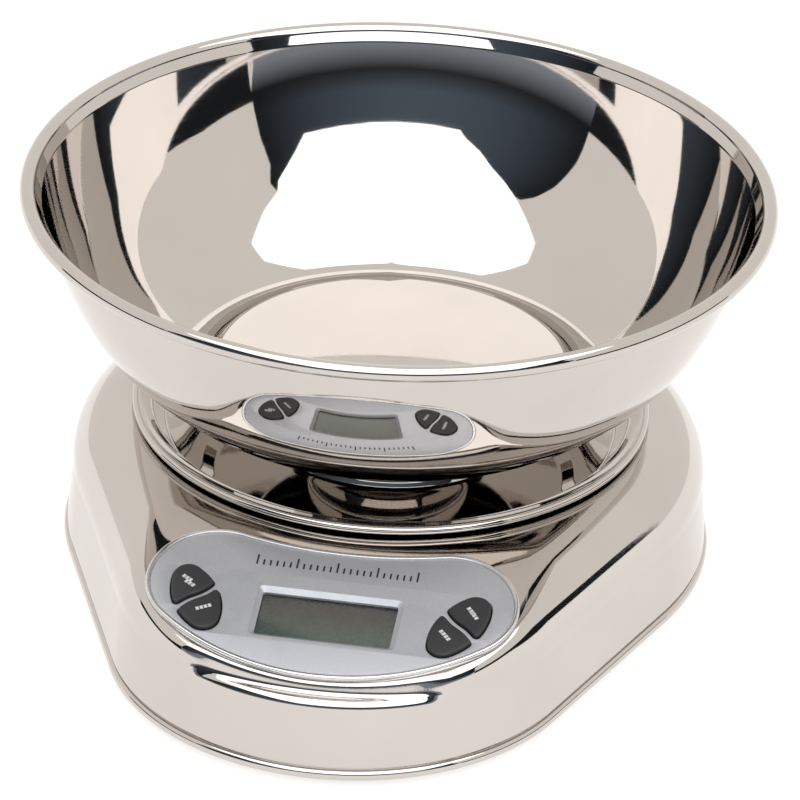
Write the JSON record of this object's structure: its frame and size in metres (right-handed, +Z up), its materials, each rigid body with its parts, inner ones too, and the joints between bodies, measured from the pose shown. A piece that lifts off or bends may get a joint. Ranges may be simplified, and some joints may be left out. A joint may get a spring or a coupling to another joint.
{
  "type": "kitchen scale",
  "caption": "Polished steel electronic kitchen scale: a removable mixing bowl on a round weighing tray over an egg-shaped housing with a sloped panel, display and rubber keys.",
  "frame": {"origin": "on the surface it stands on, under the middle of the whole object's box; the bowl's axis is 15.75 mm behind it", "axes": "+Z up, the display and keys face -Y, +X is to the right as seen from the front"},
  "size_m": [0.23, 0.2615, 0.1225],
  "materials": {
    "polished_steel": "mirror-polished stainless steel",
    "silver_plastic": "silver-painted moulded plastic, satin",
    "clear_lens": "clear acrylic",
    "lcd_glass": "grey-green reflective display",
    "black_rubber": "matte silicone rubber with printed marks",
    "base_plastic": "textured ABS",
    "foot_rubber": "moulded rubber",
    "zinc_steel": "zinc-plated steel",
    "beam_aluminium": "milled aluminium",
    "gauge_sealant": "white silicone sealant",
    "circuit_board": "green solder mask",
    "switch_plastic": "moulded plastic",
    "chip_resin": "black epoxy",
    "battery_wrap": "plain printed sleeve",
    "lead_red": "PVC insulation",
    "lead_black": "PVC insulation",
    "cable_grey": "PVC jacket"
  },
  "bodies": {
    "base": {"base_plate": "base_plastic", "base_screws": "zinc_steel", "foot_front_left": "foot_rubber", "foot_front_right": "foot_rubber", "foot_rear_left": "foot_rubber", "foot_rear_right": "foot_rubber", "upper_shell": "polished_steel", "inner_frame": "base_plastic", "display_bezel": "silver_plastic", "lcd_window": "clear_lens", "lcd_panel": "lcd_glass", "lcd_holder": "base_plastic", "lcd_connector": "foot_rubber", "main_pcb": "circuit_board", "pcb_screws": "zinc_steel", "key_switches": "switch_plastic", "chip_coating": "chip_resin", "load_cell": "beam_aluminium", "gauge_coating": "gauge_sealant", "load_cell_base_screws": "zinc_steel", "overload_stop_screw": "zinc_steel", "battery_left": "battery_wrap", "battery_right": "battery_wrap", "battery_contacts": "zinc_steel", "battery_springs": "zinc_steel", "battery_lead_red": "lead_red", "battery_lead_black": "lead_black", "load_cell_cable": "cable_grey"},
    "platform": {"platform_tray": "polished_steel", "platform_carrier": "base_plastic", "tray_grommets": "foot_rubber", "load_cell_carrier_screws": "zinc_steel"},
    "bowl": {"bowl": "polished_steel"},
    "battery_door": {"battery_door": "base_plastic"},
    "key_power": {"button_power": "black_rubber"},
    "key_mode": {"button_mode": "black_rubber"},
    "key_tare": {"button_tare": "black_rubber"},
    "key_hold": {"button_hold": "black_rubber"}
  },
  "joints": [
    {"name": "platform_slide", "type": "slide", "parent": "base", "child": "platform", "axis": [0, 0, -1], "range_m": [0, 0.0006], "stiffness_N_per_m": 20000, "springref_m": -0.0005, "deforming": ["load_cell"]},
    {"name": "bowl_lift", "type": "slide", "parent": "platform", "child": "bowl", "axis": [0, 0, 1], "range_m": [0, 0.12]},
    {"name": "battery_door_hinge", "type": "hinge", "parent": "base", "child": "battery_door", "pos_m": [0, 0.06275, 0.0034], "axis": [-1, 0, 0], "range_deg": [0, 85]},
    {"name": "key_power_press", "type": "slide", "parent": "base", "child": "key_power", "axis": [0, 0.2588, -0.9659], "range_m": [0, 0.0008], "stiffness_N_per_m": 1500, "springref_m": -0.0003},
    {"name": "key_mode_press", "type": "slide", "parent": "base", "child": "key_mode", "axis": [0, 0.2588, -0.9659], "range_m": [0, 0.0008], "stiffness_N_per_m": 1500, "springref_m": -0.0003},
    {"name": "key_tare_press", "type": "slide", "parent": "base", "child": "key_tare", "axis": [0, 0.2588, -0.9659], "range_m": [0, 0.0008], "stiffness_N_per_m": 1500, "springref_m": -0.0003},
    {"name": "key_hold_press", "type": "slide", "parent": "base", "child": "key_hold", "axis": [0, 0.2588, -0.9659], "range_m": [0, 0.0008], "stiffness_N_per_m": 1500, "springref_m": -0.0003}
  ]
}
